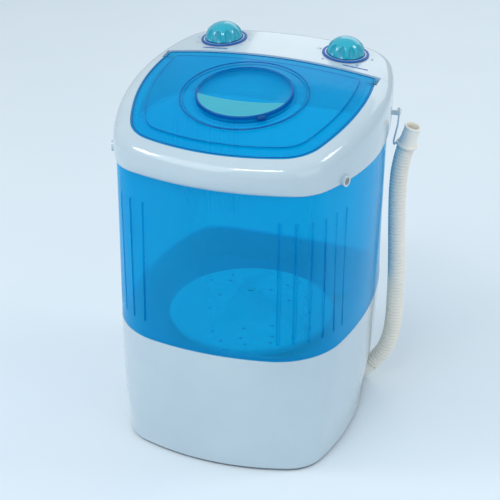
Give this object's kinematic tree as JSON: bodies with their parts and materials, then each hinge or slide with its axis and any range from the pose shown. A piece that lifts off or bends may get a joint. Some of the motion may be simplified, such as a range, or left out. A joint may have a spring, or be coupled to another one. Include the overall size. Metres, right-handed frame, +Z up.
{
  "type": "top load washing machine",
  "caption": "Small portable top-loading washer: white base and collar, see-through blue tub and lid, dials and a side drain hose.",
  "frame": {"origin": "middle of the machine's footprint, on the floor, measured without the drain hose", "axes": "+Z up, -Y to the front where the user stands, +X to the right"},
  "size_m": [0.3793, 0.3718, 0.5292],
  "materials": {
    "white_casing": "moulded, polished",
    "blue_tub": "clear tinted",
    "blue_lid": "clear tinted",
    "teal_knob": "moulded, polished",
    "blue_trim": "printed",
    "pulsator_plastic": "moulded",
    "hose_plastic": "corrugated polyethylene",
    "dark_plastic": "moulded",
    "black_rubber": "matt",
    "bright_steel": "bright",
    "plated_steel": "zinc plated",
    "cast_aluminium": "cast",
    "bronze": "sintered",
    "copper_wire": "enamelled windings"
  },
  "bodies": {
    "root": {"base_housing": "white_casing", "base_plate": "dark_plastic", "wash_tub": "blue_tub", "top_collar": "white_casing", "control_panel": "white_casing", "hinge_pins": "bright_steel", "timer_ring": "blue_trim", "timer_body": "dark_plastic", "selector_ring": "blue_trim", "selector_switch": "dark_plastic", "dial_marks": "blue_trim", "side_bosses": "white_casing", "collar_screws": "bright_steel", "hanger_lug": "white_casing", "feet": "black_rubber", "foot_screws": "bright_steel", "mains_gland": "dark_plastic", "capacitor": "cast_aluminium", "capacitor_clip": "plated_steel", "shaft_seal": "black_rubber", "bearing_housing": "cast_aluminium", "shaft_bushes": "bronze", "bearing_screws": "bright_steel", "housing_gasket": "black_rubber", "drive_belt": "black_rubber", "motor_end_bells": "cast_aluminium", "stator_core": "plated_steel", "stator_windings": "copper_wire", "motor_bracket": "plated_steel", "motor_screws": "bright_steel", "drain_sump": "dark_plastic", "drain_tube": "black_rubber", "outlet_elbow": "hose_plastic", "drain_hose": "hose_plastic", "hose_cuff": "hose_plastic", "hose_hanger": "white_casing"},
    "lid": {"lid": "blue_lid"},
    "lid_cap": {"lid_cap": "blue_lid"},
    "timer_knob": {"timer_knob": "teal_knob", "timer_spindle": "bright_steel"},
    "selector_knob": {"selector_knob": "teal_knob", "selector_spindle": "bright_steel"},
    "pulsator": {"pulsator": "pulsator_plastic", "pulsator_shaft": "bright_steel", "pulsator_screw": "bright_steel", "drive_pulley": "dark_plastic"},
    "motor_rotor": {"rotor_core": "plated_steel", "motor_shaft": "bright_steel", "motor_pulley": "cast_aluminium"}
  },
  "joints": [
    {"name": "lid_hinge", "type": "hinge", "parent": "root", "child": "lid", "pos_m": [0, 0.06424, 0.49097], "axis": [-1, 0, 0], "range_deg": [0, 100]},
    {"name": "cap_turn", "type": "hinge", "parent": "lid", "child": "lid_cap", "pos_m": [0, -0.0333, 0.49187], "axis": [0, -0.1479, 0.989], "range_deg": [0, 30]},
    {"name": "timer_turn", "type": "hinge", "parent": "root", "child": "timer_knob", "pos_m": [0.0887, 0.129, 0.50244], "axis": [-0.0701, 0.0197, -0.9973], "range_deg": [0, 300]},
    {"name": "selector_turn", "type": "hinge", "parent": "root", "child": "selector_knob", "pos_m": [-0.0887, 0.129, 0.50244], "axis": [0.0701, 0.0197, -0.9973], "range_deg": [0, 90]},
    {"name": "pulsator_spin", "type": "hinge", "parent": "root", "child": "pulsator", "pos_m": [0, -0.009, 0.154], "axis": [0, 0, 1], "continuous": true},
    {"name": "motor_spin", "type": "hinge", "parent": "root", "child": "motor_rotor", "pos_m": [-0.078, 0.062, 0.07], "axis": [0, 0, 1], "continuous": true}
  ],
  "couplings": [
    {"joint": "motor_spin", "follows": "pulsator_spin", "ratio": 5.5238}
  ]
}
